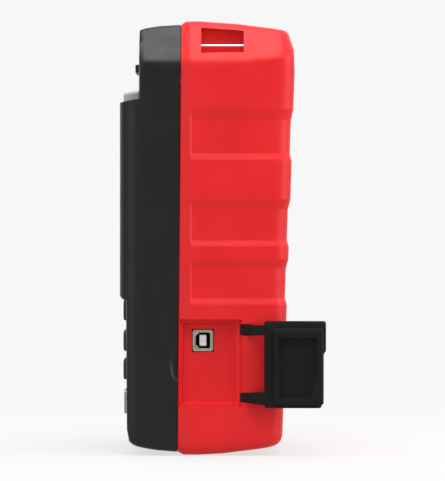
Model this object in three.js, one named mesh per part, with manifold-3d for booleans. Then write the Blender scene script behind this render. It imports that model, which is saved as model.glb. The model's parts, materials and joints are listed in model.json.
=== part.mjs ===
// Handheld vehicle code reader with a built-in ticket printer.
// Millimetres, +Z up. The screen and keys face -Y, the ribbed back faces +Y, and the data port and
// its rubber cover are on the +X side. The origin is the middle of the flat land on the bottom end.
import * as THREE from "three";
import { mergeVertices } from "three/addons/utils/BufferGeometryUtils.js";
import Module from "manifold-3d";

const wasm = await Module();
wasm.setup();

// ---------------------------------------------------------------- driving dimensions
const GAP = 0.3; // clearance between neighbouring pieces
const FAR = 80; // beyond every outer surface

// casing
const FRONT_HALF = 60; // half width of the black front shell
const REAR_HALF = 62; // half width of the red rear shell
const TOP_Z = 235.9;
const LAND_HALF = 10.8; // half depth of the flat land on the bottom end
const PARTING_Y = -14; // parting plane at the foot
const PARTING_LEAN = 0.0085; // and its lean towards the back per millimetre of height
const BACK_FOOT = [42.95, 4.9]; // back plane, (y, z) at the foot
const BACK_HEAD = [49.4, 208]; // and near the top
const CREASE_Z = 212; // where the sloping shoulders start
const SHOULDER_X = 46; // half width at the end of the shoulders
const SHOULDER_Z = 236; // where that slope would reach it
const RIM_Y = -7; // the red rim flares out from the parting plane to here
const GROOVES = [ // recessed bands round the red shell: bottom, top, depth
  [84.6, 101.2, 1.2],
  [116.5, 133.6, 1.2],
  [162.8, 182.5, 1.2],
];

// front face
const MODULE_Y = -45.7; // raised display module
const MODULE_Z = [84, 191.4];
const KEYPAD_Y = -41.9; // face that the keys come through
const SHELF_Y = -34.7; // set-back face with the paper door
const BEZEL_HALF = 48;
const BEZEL_Y = -43.4;
const BEZEL_Z = [90, 198];
const WINDOW_HALF = 40.5;
const WINDOW_Z = [111.5, 174.5];
const KEY_SIZE = [21, 11.3];
const KEY_COLUMNS = [-39.75, -13.25, 13.25, 39.75];
const KEY_ROWS = [78.2, 61.6, 46.1];
const KEY_FRONT_Y = -43.3;
const WALL_INNER_Y = -39.3; // inner face of the keypad wall
const BADGE_Z = [21.9, 34.8];
const BADGE_HALF = 50;

// ticket printer behind the shelf
const DOOR_HALF = 34;
const DOOR_Z = [200.3, 225];
const DOOR_AXIS = [-33.2, 225]; // (y, z) of the hinge pin
const DOOR_BARREL_R = 1.5;
const LIP_REACH = 3.3; // how far the finger lip stands out of the door
const PIN_R = 0.7;
const PLATEN = [-27.5, 203.5]; // (y, z) of the rubber feed roller
const PLATEN_R = 3.5;
const ROLL = [-10, 213]; // (y, z) of the paper roll
const ROLL_R = 13.5;
const ROLL_HALF = 28.5;

// data port recess and its cover
const RECESS_Y = [-12.6, 21.2];
const RECESS_Z = [25.9, 73.5];
const RECESS_LEDGE_X = 58.4;
const RECESS_FLOOR_X = 54.8;
const POCKET_Y = [-11, 17.6];
const POCKET_Z = [28.4, 71.2];
const USB = [-0.1, 61.9]; // (y, z) of the socket
const USB_SIZE = [11.1, 11.7];
const USB_MOUTH = [7.8, 8.5];
const COVER_AXIS = [64.8, 27]; // (x, y) of the strap fold, at the cover's mid height
const COVER_LEAN = THREE.MathUtils.degToRad(1.75); // the fold line leans out at the top
const COVER_OPEN = THREE.MathUtils.degToRad(178); // swing from shut to the resting place
const STRAPS_Z = [[65.1, 70.5], [28.9, 33.4]];

// lanyard slots in the shoulders
const SLOT_Y = [-1.1, 22.1];
const SLOT_Z = [218, 231.1];
const SLOT_FLOOR_X = 45;
const BAR = [54, 221.3]; // (x, z) of the steel bar
const BAR_R = 1.25;

// diagnostic cable connector in the top end
const PORT_Y = 22;
const PORT_HALF = [23, 7.5];
const PORT_FLOOR_Z = 221;

// case screws, driven from the back through deep wells: (x, z)
const SCREWS = [[46, 17], [46, 95], [46, 203]].flatMap(([x, z]) => [[x, z], [-x, z]]);
const SCREW_HEAD_Y = -5.7;

// ---------------------------------------------------------------- materials
const finish = (color, roughness, metalness = 0) =>
  new THREE.MeshStandardMaterial({ color, roughness, metalness });
const RED = finish(0xdd2a2c, 0.45);
const BLACK = finish(0x232321, 0.55);
const RUBBER = finish(0x1c1c1b, 0.8);
const KEY_GREY = finish(0x3a3a3c, 0.7);
const SILVER = finish(0xaaaaa5, 0.4, 0.3);
const STEEL = finish(0xc6c6c4, 0.3, 1);
const GLASS = finish(0x1a1f26, 0.1);
const BOARD = finish(0x1f6b3a, 0.5);
const WHITE = finish(0xe8e8e4, 0.6);

// ---------------------------------------------------------------- shapes and solids
/** Closed outline through corners [a, b, rounding]. */
function outline(corners) {
  const shape = new THREE.Shape();
  const last = corners.length - 1;
  corners.forEach(([a, b, rounding = 0], i) => {
    const corner = new THREE.Vector2(a, b);
    const previous = corners[i === 0 ? last : i - 1];
    const next = corners[i === last ? 0 : i + 1];
    const entry = new THREE.Vector2(previous[0], previous[1]).sub(corner).setLength(rounding).add(corner);
    const exit = new THREE.Vector2(next[0], next[1]).sub(corner).setLength(rounding).add(corner);
    if (i === 0) shape.moveTo(entry.x, entry.y);
    else shape.lineTo(entry.x, entry.y);
    if (rounding > 0) shape.quadraticCurveTo(corner.x, corner.y, exit.x, exit.y);
  });
  shape.closePath();
  return shape;
}

/** Rectangle with rounded corners. */
function rectangle(a0, a1, b0, b1, rounding = 0) {
  return outline([[a0, b0, rounding], [a1, b0, rounding], [a1, b1, rounding], [a0, b1, rounding]]);
}

/** Manifold solid of a closed geometry. */
function solid(geometry) {
  geometry.deleteAttribute("normal");
  geometry.deleteAttribute("uv");
  const merged = mergeVertices(geometry, 1e-4);
  return new wasm.Manifold(new wasm.Mesh({
    numProp: 3,
    vertProperties: Float32Array.from(merged.attributes.position.array),
    triVerts: Uint32Array.from(merged.index.array),
  }));
}

/** Prism of an outline along x (outline in y, z), y (outline in x, z) or z (outline in x, y). */
function prism(axis, shape, from, to, curveSegments = 4) {
  const geometry = new THREE.ExtrudeGeometry(shape, { depth: to - from, bevelEnabled: false, curveSegments });
  geometry.translate(0, 0, axis === "y" ? -to : from);
  if (axis === "x") geometry.applyMatrix4(new THREE.Matrix4().set(0, 0, 1, 0, 1, 0, 0, 0, 0, 1, 0, 0, 0, 0, 0, 1));
  if (axis === "y") geometry.rotateX(Math.PI / 2);
  return solid(geometry);
}

/** Plain block between two corners. */
function block([x0, x1], [y0, y1], [z0, z1]) {
  const geometry = new THREE.BoxGeometry(x1 - x0, y1 - y0, z1 - z0);
  geometry.translate((x0 + x1) / 2, (y0 + y1) / 2, (z0 + z1) / 2);
  return solid(geometry);
}

/** Round rod along an axis; (a, b) are its other two coordinates in x, y, z order. */
function rod(axis, [a, b], radius, from, to, sides = 14) {
  const geometry = new THREE.CylinderGeometry(radius, radius, to - from, sides);
  geometry.translate(0, (from + to) / 2, 0);
  if (axis === "x") geometry.rotateZ(-Math.PI / 2);
  if (axis === "z") geometry.rotateX(Math.PI / 2);
  if (axis === "x") geometry.translate(0, a, b);
  if (axis === "y") geometry.translate(a, 0, b);
  if (axis === "z") geometry.translate(a, b, 0);
  return solid(geometry);
}

const model = new THREE.Group();

/** Adds a named piece to a group. */
function piece(name, body, material, parent = model) {
  const { vertProperties, triVerts } = body.getMesh();
  const geometry = new THREE.BufferGeometry();
  geometry.setAttribute("position", new THREE.BufferAttribute(vertProperties, 3));
  geometry.setIndex(new THREE.BufferAttribute(triVerts, 1));
  geometry.computeVertexNormals();
  const mesh = new THREE.Mesh(geometry, material);
  mesh.name = name;
  parent.add(mesh);
  return mesh;
}

const partingY = (z) => PARTING_Y + PARTING_LEAN * z;
const backY = (z) =>
  BACK_FOOT[0] + (BACK_HEAD[0] - BACK_FOOT[0]) * (z - BACK_FOOT[1]) / (BACK_HEAD[1] - BACK_FOOT[1]);

// ---------------------------------------------------------------- front shell
function frontShell() {
  const partingGap = GAP / 2;
  const profile = outline([
    [partingY(1.3) - partingGap, 1.3],
    [-25.2, 2.4],
    [-38, 4.9, 2],
    [-41.2, 6.4, 1.5],
    [KEYPAD_Y, MODULE_Z[0]],
    [MODULE_Y + 2, MODULE_Z[0]],
    [MODULE_Y, MODULE_Z[0] + 2.1],
    [MODULE_Y, MODULE_Z[1] - 1],
    [SHELF_Y, MODULE_Z[1] + 1.3],
    [SHELF_Y, 231, 0.8],
    [-23.7, 233.2],
    [partingY(233.9) - partingGap, 233.9],
  ]);
  const face = outline([
    [-FRONT_HALF, 1.3, 10],
    [FRONT_HALF, 1.3, 10],
    [FRONT_HALF, CREASE_Z - 1],
    [SHOULDER_X - 1, SHOULDER_Z - 2],
    [1 - SHOULDER_X, SHOULDER_Z - 2],
    [-FRONT_HALF, CREASE_Z - 1],
  ]);
  const plan = outline([
    [-FRONT_HALF, 0],
    [-FRONT_HALF, MODULE_Y, 10],
    [FRONT_HALF, MODULE_Y, 10],
    [FRONT_HALF, 0],
  ]);
  let shell = prism("x", profile, -FRONT_HALF, FRONT_HALF)
    .intersect(prism("y", face, MODULE_Y, 0))
    .intersect(prism("z", plan, 0, TOP_Z));

  const inner = FRONT_HALF - 2.8;
  const rooms = [
    [[-inner, inner], [-37.5, 0], [7, 180]],
    [[-inner + 2, inner - 2], [WALL_INNER_Y, 0], [37, 88]],
    [[-inner, inner], [SHELF_Y + 2.7, 0], [170, 209]],
    [[-SHOULDER_X + 3, SHOULDER_X - 3], [SHELF_Y + 2.7, 0], [200, 229.4]],
  ];
  rooms.forEach((room) => {
    shell = shell.subtract(block(...room));
  });

  // seat and opening for the display bezel and window
  shell = shell.subtract(block([-BEZEL_HALF, BEZEL_HALF], [-FAR, -40.3], [BEZEL_Z[0], 200]));
  shell = shell.subtract(block([-BEZEL_HALF, BEZEL_HALF], [-FAR, SHELF_Y - 0.2], [182.5, 200]));
  shell = shell.subtract(block([-44, 44], [-FAR, -30], [WINDOW_Z[0] - 3.5, WINDOW_Z[1] + 3.5]));

  // key holes
  KEY_ROWS.forEach((z) => KEY_COLUMNS.forEach((x) => {
    const [w, h] = KEY_SIZE.map((size) => size / 2 + 0.35);
    shell = shell.subtract(prism("y", rectangle(x - w, x + w, z - h, z + h, 2.4), -FAR, -30, 2));
  }));

  // paper door opening
  shell = shell.subtract(block([-DOOR_HALF - 0.4, DOOR_HALF + 0.4], [-FAR, -30], [198.4, 227]));
  shell = shell.subtract(rod("x", DOOR_AXIS, PIN_R + GAP, -37, 37, 10));

  // thumb notch beside the port cover, cut into the side at the parting plane
  const notch = new THREE.SphereGeometry(1, 16, 10);
  notch.scale(3, 4.8, 10.9);
  notch.translate(FRONT_HALF + 1.2, partingY(49.7), 49.7);
  shell = shell.subtract(solid(notch));

  // screw bosses
  SCREWS.forEach(([x, z]) => {
    const root = z > 180 ? SHELF_Y + 2 : -38;
    const boss = rod("y", [x, z], 3.6, root, partingY(z) - partingGap - 0.2);
    shell = shell.add(boss).subtract(rod("y", [x, z], 1.5, -27, 0, 8));
  });
  piece("front_shell", shell, BLACK);
}

// ---------------------------------------------------------------- rear shell
function rearBody() {
  const profile = outline([
    [partingY(1.4) + GAP / 2, 1.4],
    [-LAND_HALF, 0],
    [LAND_HALF, 0],
    [34.5, 3.9, 4],
    [...BACK_FOOT, 6.5],
    BACK_HEAD,
    [49.2, 220],
    [45.9, 230.8, 3],
    [19, 234.3],
    [-2.2, TOP_Z],
    [-9.2, TOP_Z - 0.1],
    [partingY(233.9) + GAP / 2, 233.9],
  ]);
  const face = outline([
    [-REAR_HALF, 0, 12],
    [REAR_HALF, 0, 12],
    [REAR_HALF, CREASE_Z],
    [SHOULDER_X, SHOULDER_Z],
    [-SHOULDER_X, SHOULDER_Z],
    [-REAR_HALF, CREASE_Z],
  ]);
  const plan = outline([
    [-FRONT_HALF - 0.2, -20],
    [-FRONT_HALF - 0.2, partingY(110)],
    [-REAR_HALF, RIM_Y],
    [-REAR_HALF, 50, 11],
    [REAR_HALF, 50, 11],
    [REAR_HALF, RIM_Y],
    [FRONT_HALF + 0.2, partingY(110)],
    [FRONT_HALF + 0.2, -20],
  ]);
  return prism("x", profile, -REAR_HALF, REAR_HALF)
    .intersect(prism("y", face, -20, FAR))
    .intersect(prism("z", plan, 0, TOP_Z));
}

/** Solid that takes one groove out of the sides and the back. */
function grooveCutter([low, high, depth]) {
  const back = backY((low + high) / 2) - depth;
  const half = REAR_HALF - depth;
  const around = rectangle(-FAR, FAR, RIM_Y - 1, FAR);
  const kept = rectangle(-half, half, -FAR, back, 10);
  return prism("z", around, low, high).subtract(prism("z", kept, low - 1, high + 1));
}

function rearShell() {
  const whole = rearBody();
  let shell = whole;
  GROOVES.forEach((groove) => {
    shell = shell.subtract(grooveCutter(groove));
  });

  // hollow inside
  const innerProfile = outline([
    [-20, 4.5],
    [12, 4.5],
    [33, 7.5],
    [BACK_FOOT[0] - 3.6, 9.5, 3],
    [BACK_HEAD[0] - 4.2, 206],
    [43, 225.5, 3],
    [19, 229.3],
    [-20, 230],
  ]);
  const innerFace = outline([
    [-57.6, 4, 10],
    [57.6, 4, 10],
    [57.6, 212.5],
    [43.3, 234],
    [-43.3, 234],
    [-57.6, 212.5],
  ]);
  const innerPlan = rectangle(-57.6, 57.6, -30, 45.6, 7);
  shell = shell.subtract(
    prism("x", innerProfile, -57.6, 57.6)
      .intersect(prism("y", innerFace, -30, FAR))
      .intersect(prism("z", innerPlan, 0, TOP_Z)),
  );

  // port recess: a boxed pocket with a ledge for the cover
  const pocketWalls = block([52.6, REAR_HALF], [-20, 28], [23, 76.4]);
  shell = shell.add(pocketWalls.intersect(whole));
  shell = shell.subtract(prism("x", rectangle(...RECESS_Y, ...RECESS_Z, 1), RECESS_LEDGE_X, FAR, 2));
  shell = shell.subtract(prism("x", rectangle(...POCKET_Y, ...POCKET_Z, 1.5), RECESS_FLOOR_X, FAR, 2));
  STRAPS_Z.forEach(([low, high]) => {
    shell = shell.subtract(block([RECESS_LEDGE_X, FAR], [20, 26.4], [low - 0.4, high + 0.4]));
  });
  const [uh, uw] = [USB_SIZE[0] / 2 + GAP, USB_SIZE[1] / 2 + GAP];
  shell = shell.subtract(block([40, FAR], [USB[0] - uh, USB[0] + uh], [USB[1] - uw, USB[1] + uw]));

  // lanyard slots
  [1, -1].forEach((side) => {
    const reach = (x0, x1) => (side > 0 ? [x0, x1] : [-x1, -x0]);
    const walls = block(reach(42, REAR_HALF), [SLOT_Y[0] - 3, SLOT_Y[1] + 3], [SLOT_Z[0] - 2.6, 240]);
    shell = shell.add(walls.intersect(whole));
    shell = shell.subtract(block(reach(SLOT_FLOOR_X, FAR), SLOT_Y, SLOT_Z));
    const hole = rod("y", [side * BAR[0], BAR[1]], BAR_R + GAP, SLOT_Y[0] - 2.4, SLOT_Y[1] + 2.4, 12);
    shell = shell.subtract(hole);
  });

  // connector pocket in the top end
  const [ph, pd] = PORT_HALF;
  const portWalls = block([-ph - 2, ph + 2], [PORT_Y - pd - 2, PORT_Y + pd + 2], [PORT_FLOOR_Z - 2, 240]);
  shell = shell.add(portWalls.intersect(whole));
  const portPocket = rectangle(-ph, ph, PORT_Y - pd, PORT_Y + pd, 2);
  shell = shell.subtract(prism("z", portPocket, PORT_FLOOR_Z, 240, 2));

  // screw wells
  SCREWS.forEach(([x, z]) => {
    const start = partingY(z) + GAP / 2 + 0.2;
    shell = shell.add(rod("y", [x, z], 4.8, start, backY(z) - 2));
    shell = shell.subtract(rod("y", [x, z], 3.2, SCREW_HEAD_Y - GAP, FAR, 14));
    shell = shell.subtract(rod("y", [x, z], 1.5, -20, FAR, 8));
  });
  piece("rear_shell", shell, RED);
}

// ---------------------------------------------------------------- display and keys
function display() {
  const top = outline([
    [BEZEL_Y, BEZEL_Z[0] + GAP],
    [BEZEL_Y, BEZEL_Z[1] - 1.8],
    [SHELF_Y - 0.5, BEZEL_Z[1]],
    [SHELF_Y - 0.5, 182.8],
    [-40.6, 182.8],
    [-40.6, BEZEL_Z[0] + GAP],
  ]);
  const half = BEZEL_HALF - GAP;
  const opening = rectangle(-WINDOW_HALF, WINDOW_HALF, ...WINDOW_Z, 2);
  piece("display_bezel", prism("x", top, -half, half).subtract(prism("y", opening, -FAR, 0, 3)), SILVER);
  piece("display_window", block([-43.7, 43.7], [-40.3, -38.3], [WINDOW_Z[0] - 3.2, WINDOW_Z[1] + 3.2]), GLASS);
  piece("lcd_panel", block([-47, 47], [-37.2, -32.4], [104, 179.6]), STEEL);
}

function keypad() {
  const [w, h] = KEY_SIZE.map((size) => size / 2);
  KEY_ROWS.forEach((z, row) => KEY_COLUMNS.forEach((x, column) => {
    const cap = prism("y", rectangle(x - w, x + w, z - h, z + h, 2.4), KEY_FRONT_Y, -38.6, 2);
    const flange = block([x - w - 1.2, x + w + 1.2], [-39, -38.2], [z - h - 1.2, z + h + 1.2]);
    piece(`key_${row + 1}_${column + 1}`, cap.add(flange), KEY_GREY);
  }));
  piece("keypad_mat", block([-53, 53], [-37, -35.8], [38.5, 86.5]), RUBBER);
  piece("key_board", block([-53, 53], [-35.4, -33.8], [38.5, 86.5]), BOARD);
  piece("badge_plate", prism("y", rectangle(-BADGE_HALF, BADGE_HALF, ...BADGE_Z, 2), -43, -41.95, 3), SILVER);
}

// ---------------------------------------------------------------- ticket printer
function printer() {
  const [axisY, axisZ] = DOOR_AXIS;
  const plate = block([-DOOR_HALF, DOOR_HALF], [SHELF_Y, SHELF_Y + 2.2], DOOR_Z);
  const lip = outline([
    [SHELF_Y + 0.5, 208.9],
    [SHELF_Y - LIP_REACH, 209.5],
    [SHELF_Y - LIP_REACH, 214.1],
    [SHELF_Y + 0.5, 214.7],
  ]);
  const barrel = rod("x", DOOR_AXIS, DOOR_BARREL_R, -DOOR_HALF, DOOR_HALF);
  const [rollerY, rollerZ] = PLATEN;
  let door = plate.add(prism("x", lip, -14, 14)).add(barrel);
  [-1, 1].forEach((side) => {
    const cheek = outline([
      [SHELF_Y + 1, 200.6],
      [rollerY, rollerZ - 2],
      [rollerY + 1.8, rollerZ + 0.5],
      [rollerY + 0.5, rollerZ + 2],
      [SHELF_Y + 1, 212],
    ]);
    const from = side > 0 ? 30.8 : -33;
    door = door.add(prism("x", cheek, from, from + 2.2));
  });
  door = door.subtract(rod("x", DOOR_AXIS, PIN_R + GAP, -FAR, FAR, 10));
  door = door.subtract(rod("x", PLATEN, 1.1, -FAR, FAR, 10));
  piece("printer_door", door, BLACK);
  piece("door_pin", rod("x", [axisY, axisZ], PIN_R, -36.6, 36.6, 10), STEEL);

  const roller = rod("x", PLATEN, PLATEN_R, -30.2, 30.2, 18);
  piece("platen_roller", roller.add(rod("x", PLATEN, 0.8, -32.6, 32.6, 10)), RUBBER);
  piece("print_head", block([-29, 29], [-28, -22], [195.5, 198.7]), STEEL);

  const [ry, rz] = ROLL;
  const wall = ROLL_R + 1.2;
  const bin = block([-31, 31], [ry - 11.5, ry + wall + 1.2], [rz - wall - 1.2, rz + wall + 0.6])
    .subtract(block([-29.6, 29.6], [-FAR, ry + wall], [rz - wall, 240]));
  piece("paper_bin", bin, BLACK);
  const paper = rod("x", ROLL, ROLL_R, -ROLL_HALF, ROLL_HALF, 28);
  piece("paper_roll", paper.subtract(rod("x", ROLL, 4.5, -FAR, FAR, 14)), WHITE);
}

// ---------------------------------------------------------------- boards and sockets
function boards() {
  piece("main_board", block([-41.5, 41.5], [-27, -25.4], [24, 182]), BOARD);
  piece("buzzer", rod("y", [30, 40], 6, -25, -19.5, 18), BLACK);
  piece("port_board", block([12, 51.8], [6.2, 7.8], [48, 76]), BOARD);
}

function dataSocket() {
  const [y, z] = USB;
  const [h, w] = USB_SIZE.map((size) => size / 2);
  const [mh, mw] = USB_MOUTH.map((size) => size / 2);
  const bevel = 1.9;
  const mouth = outline([
    [y - mh, z - mw + bevel],
    [y - mh + bevel, z - mw],
    [y + mh, z - mw],
    [y + mh, z + mw],
    [y - mh + bevel, z + mw],
    [y - mh, z + mw - bevel],
  ]);
  const front = RECESS_FLOOR_X + 0.6;
  const shell = block([40, front], [y - h, y + h], [z - w, z + w]).subtract(prism("x", mouth, front - 9, FAR));
  piece("usb_shell", shell, STEEL);
  piece("usb_tongue", block([front - 8.7, front - 0.7], [y - 1.85, y + 1.85], [z - 3, z + 3]), WHITE);
}

function cableConnector() {
  const dee = (half, depth, lean) => outline([
    [-half + lean, PORT_Y - depth, 1.6],
    [half - lean, PORT_Y - depth, 1.6],
    [half, PORT_Y + depth, 1.6],
    [-half, PORT_Y + depth, 1.6],
  ]);
  const base = PORT_FLOOR_Z + GAP;
  const flange = prism("z", rectangle(-19.6, 19.6, PORT_Y - 6.2, PORT_Y + 6.2, 1.5), base, base + 1, 2);
  const tube = prism("z", dee(12.35, 4.15, 1), base, base + 6.4, 3);
  const bore = prism("z", dee(11.7, 3.5, 1), base + 1, FAR * 3, 3);
  piece("dsub_shell", flange.add(tube).subtract(bore), STEEL);
  piece("dsub_insulator", prism("z", dee(11.35, 3.15, 1), base + 1.3, base + 6, 3), BLACK);
  [-1, 1].forEach((side) => {
    const name = side < 0 ? "jack_screw_left" : "jack_screw_right";
    const post = rod("z", [side * 16.65, PORT_Y], 2.7, base + 1.3, base + 6.2, 6);
    piece(name, post.subtract(rod("z", [side * 16.65, PORT_Y], 1.2, base + 3, FAR * 3, 8)), STEEL);
  });
}

// ---------------------------------------------------------------- port cover and straps
/** Rubber cover as it lies when shut, flush in the recess. */
function shutCover() {
  const [y0, y1] = [RECESS_Y[0] + GAP, RECESS_Y[1] - GAP];
  const [z0, z1] = [RECESS_Z[0] + GAP, RECESS_Z[1] - GAP];
  const plate = prism("x", rectangle(y0, y1, z0, z1, 1.2), RECESS_LEDGE_X + GAP, REAR_HALF, 2);
  const plug = rectangle(POCKET_Y[0] + 0.4, POCKET_Y[1] - 0.4, POCKET_Z[0] + 0.4, POCKET_Z[1] - 0.4, 1.5);
  const hollow = rectangle(POCKET_Y[0] + 3, POCKET_Y[1] - 3.2, POCKET_Z[0] + 6, POCKET_Z[1] - 4.6, 1);
  return plate
    .add(prism("x", plug, RECESS_LEDGE_X - 2.4, RECESS_LEDGE_X + 1, 2))
    .subtract(prism("x", hollow, RECESS_LEDGE_X - 5, RECESS_LEDGE_X + 1.4, 2));
}

/** Strap from the slot beside the recess to the hinge edge of the open cover. */
function strap([low, high], reach) {
  const path = [[59.6, 21], [61.6, 23.8], [64.8, 27.2], [67.6, 30.2], [69.6, reach]];
  const half = 0.8;
  const side = path.map(([x, y], i) => {
    const before = path[Math.max(i - 1, 0)];
    const after = path[Math.min(i + 1, path.length - 1)];
    const along = new THREE.Vector2(after[0] - before[0], after[1] - before[1]).normalize();
    return [new THREE.Vector2(x - along.y * half, y + along.x * half),
      new THREE.Vector2(x + along.y * half, y - along.x * half)];
  });
  const rim = [...side.map(([a]) => a), ...side.map(([, b]) => b).reverse()];
  return prism("z", new THREE.Shape(rim), low, high);
}

function portCover() {
  const axis = new THREE.Vector3(Math.sin(COVER_LEAN), 0, Math.cos(COVER_LEAN));
  const pivot = new THREE.Vector3(...COVER_AXIS, (RECESS_Z[0] + RECESS_Z[1]) / 2);
  const hinge = new THREE.Group();
  hinge.position.copy(pivot);
  hinge.quaternion.setFromAxisAngle(axis, COVER_OPEN);
  model.add(hinge);
  const cover = piece("port_cover", shutCover(), RUBBER, hinge);
  cover.position.copy(pivot).negate();
  piece("port_strap_upper", strap(STRAPS_Z[0], 32.2), RUBBER);
  piece("port_strap_lower", strap(STRAPS_Z[1], 32.2), RUBBER);
}

// ---------------------------------------------------------------- fastenings
function fastenings() {
  const names = ["lower", "middle", "upper"].flatMap((place) => [`${place}_right`, `${place}_left`]);
  SCREWS.forEach(([x, z], i) => {
    const head = rod("y", [x, z], 2.7, SCREW_HEAD_Y, SCREW_HEAD_Y + 2, 12);
    const shank = rod("y", [x, z], 1.2, -24, SCREW_HEAD_Y + 0.5, 8);
    piece(`case_screw_${names[i]}`, head.add(shank), STEEL);
  });
  [1, -1].forEach((side) => {
    const bar = rod("y", [side * BAR[0], BAR[1]], BAR_R, SLOT_Y[0] - 2.1, SLOT_Y[1] + 2.1, 12);
    piece(side > 0 ? "lanyard_bar_right" : "lanyard_bar_left", bar, STEEL);
  });
}

frontShell();
rearShell();
display();
keypad();
printer();
boards();
dataSocket();
cableConnector();
portCover();
fastenings();

export default model;
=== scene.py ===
import json
import math

import bpy
import numpy as np
from mathutils import Matrix, Vector

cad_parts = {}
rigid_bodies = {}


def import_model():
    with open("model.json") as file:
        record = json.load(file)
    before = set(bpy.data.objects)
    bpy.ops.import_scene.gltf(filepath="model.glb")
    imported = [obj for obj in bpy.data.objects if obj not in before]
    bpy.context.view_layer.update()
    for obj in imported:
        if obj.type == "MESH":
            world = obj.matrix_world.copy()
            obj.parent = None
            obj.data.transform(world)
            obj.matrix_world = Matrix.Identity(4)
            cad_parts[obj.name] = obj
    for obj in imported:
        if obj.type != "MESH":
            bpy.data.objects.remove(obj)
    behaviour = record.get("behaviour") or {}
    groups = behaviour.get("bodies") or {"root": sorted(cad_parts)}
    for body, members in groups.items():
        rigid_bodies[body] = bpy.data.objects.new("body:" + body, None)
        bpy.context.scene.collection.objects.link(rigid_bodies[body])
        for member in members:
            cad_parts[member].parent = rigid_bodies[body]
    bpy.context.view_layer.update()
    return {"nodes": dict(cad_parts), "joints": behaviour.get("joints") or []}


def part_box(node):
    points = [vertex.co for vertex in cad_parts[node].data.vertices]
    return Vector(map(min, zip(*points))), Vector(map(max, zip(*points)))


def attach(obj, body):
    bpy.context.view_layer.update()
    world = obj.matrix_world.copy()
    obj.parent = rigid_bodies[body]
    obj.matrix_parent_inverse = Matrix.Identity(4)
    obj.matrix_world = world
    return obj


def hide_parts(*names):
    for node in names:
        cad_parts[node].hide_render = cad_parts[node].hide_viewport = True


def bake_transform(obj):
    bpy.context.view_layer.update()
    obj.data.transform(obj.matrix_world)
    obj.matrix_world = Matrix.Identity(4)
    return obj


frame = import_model()

MM = 0.001  # shapes are worked out in millimetres and written in metres

# ------------------------------------------------------------------ casing sizes, mm
FRONT_HALF = 60.0  # half width of the black shell
REAR_HALF = 62.0  # half width of the red shell
PARTING_FOOT = -14.0  # parting plane at the foot, and its lean
PARTING_LEAN = 0.0085
PARTING_GAP = 0.15
RIM_END = -7.0  # the red rim flares out to here
RIM_FLARE = 1.8
RIM_WIDE = 6.43  # from the parting gap to the rim's end, beside the port
REAR_CAMBER = 0.0013  # the flat sides bow in towards the back and front, mm per mm squared
FRONT_CAMBER = 0.0019
FRONT_BEND = -19.0  # the black side starts to bow in here
CREASE_Z = 213.2  # where the shoulders start
SHOULDER = (24, 16, 28.84)  # their slope, up over across, and its length
WALL = 2.4
BACK_LINE = ([4.9, 208.0, 220.0, 230.8, 240.0], [42.95, 49.8, 49.5, 46.2, 43.2])  # z, y
REAR_TOP = ([-13.0, -12.3, -9.4, -2.0, 19.0, 44.0, 60.0],  # y, z
            [233.2, 234.0, 235.8, 235.9, 234.3, 230.9, 228.7])
REAR_FOOT = ([-14.0, -13.4, -10.8, -2.0, 10.8, 34.5, 43.0, 60.0], [1.5, 1.4, 0.0, 0.0, 0.7, 3.6, 4.9, 8.0])
GROOVES = [  # bottom ramp start, floor start, floor end, top ramp end
    (81.5, 85.0, 100.9, 106.0),
    (112.9, 116.2, 133.2, 138.2),
    (159.6, 163.2, 181.3, 187.4),
]
GROOVE_DEPTH = 1.15
MODULE_Y = -45.7  # raised display module
SHELF_Y = -34.7
FRONT_FACE = ([0, 5.6, 7.6, 83.9, 84.0, 86.1, 191.0, 193.2, 230.9, 234.0],
              [-40.6, -41.0, -41.3, -41.9, -43.6, -45.7, -45.7, -34.7, -34.7, -34.0])  # z, y
FRONT_TOP = ([-40.0, -34.7, -30.0, -23.7, -12.0], [228.5, 231.0, 232.2, 233.2, 233.9])
FRONT_FOOT = ([-44.0, -40.8, -38.0, -34.9, -29.2, -25.2, -19.1, -11.0],
              [7.2, 6.0, 4.9, 4.05, 3.0, 2.4, 1.9, 1.3])
THUMB_Z = 49.7  # half-moon notch in the black side
THUMB_HALF = (4.8, 10.9)

# port recess in the red side
RECESS_Y = (0.8, 21.2)  # first from the parting plane, then y
RECESS_Z = (25.9, 73.5)
PIT_Z = (27.9, 71.7)  # the deeper floor inside its ledge
LEDGE_X = 58.4
FLOOR_X = 54.8
USB_Y, USB_Z = -0.1, 61.9
USB_OPEN = (5.9, 6.2)  # half size of the hole for the socket
USB_HOLE_X = 39.2  # it ends behind the socket
STRAPS_Z = ((65.1, 70.5), (28.9, 33.4))
STRAP_NOTCH_Y = (20.0, 26.4)
SLOT_Y = (-1.1, 22.1)
SLOT_FOOT = 218.0
SLOT_BELOW_TOP = 3.8
SLOT_FLOOR_X = 45.0
PORT_POCKET = (23.0, 14.5, 29.5, 221.0)  # half width, front, back and floor
PORT_Y = 22.0
SCREW_X = (46.0, -46.0)
SCREW_Z = (17.0, 95.0, 203.0)
SCREWS = [(x, z) for z in SCREW_Z for x in SCREW_X]
WELL_R = 3.2
WELL_FLOOR_Y = -6.0
KEY_X = (-39.75, -13.25, 13.25, 39.75)
KEY_Z = (78.2, 61.6, 46.1)
KEY_HALF = (10.5, 5.65)
KEY_HOLE = (KEY_HALF[0] + 0.3, KEY_HALF[1] + 0.3)
KEY_CORNER = 2.4
SEAT_Y = -40.3  # where the display bezel sits, and how wide and how high
SEAT_HALF = 48.0
SEAT_Z = (90.0, 182.5)
BEZEL_Z = (90.3, 198.0)
BEZEL_STEP_Z = 182.7
BEZEL_INNER_Z = 100.2  # foot of the pocket behind the window
WINDOW_HALF = (40.5, 31.5)
WINDOW_MID = 143.0
WINDOW_HOLE_HALF = 44.0  # opening behind the window
WINDOW_HOLE_Z = (108.0, 178.0)
DOOR_HALF = 34.0
DOOR_Z = (200.3, 225.0)
DOOR_HOLE_HALF = 34.4
DOOR_HOLE_Z = (198.4, 227.0)
LIP_HALF = 14.1  # finger lip of the door
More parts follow.
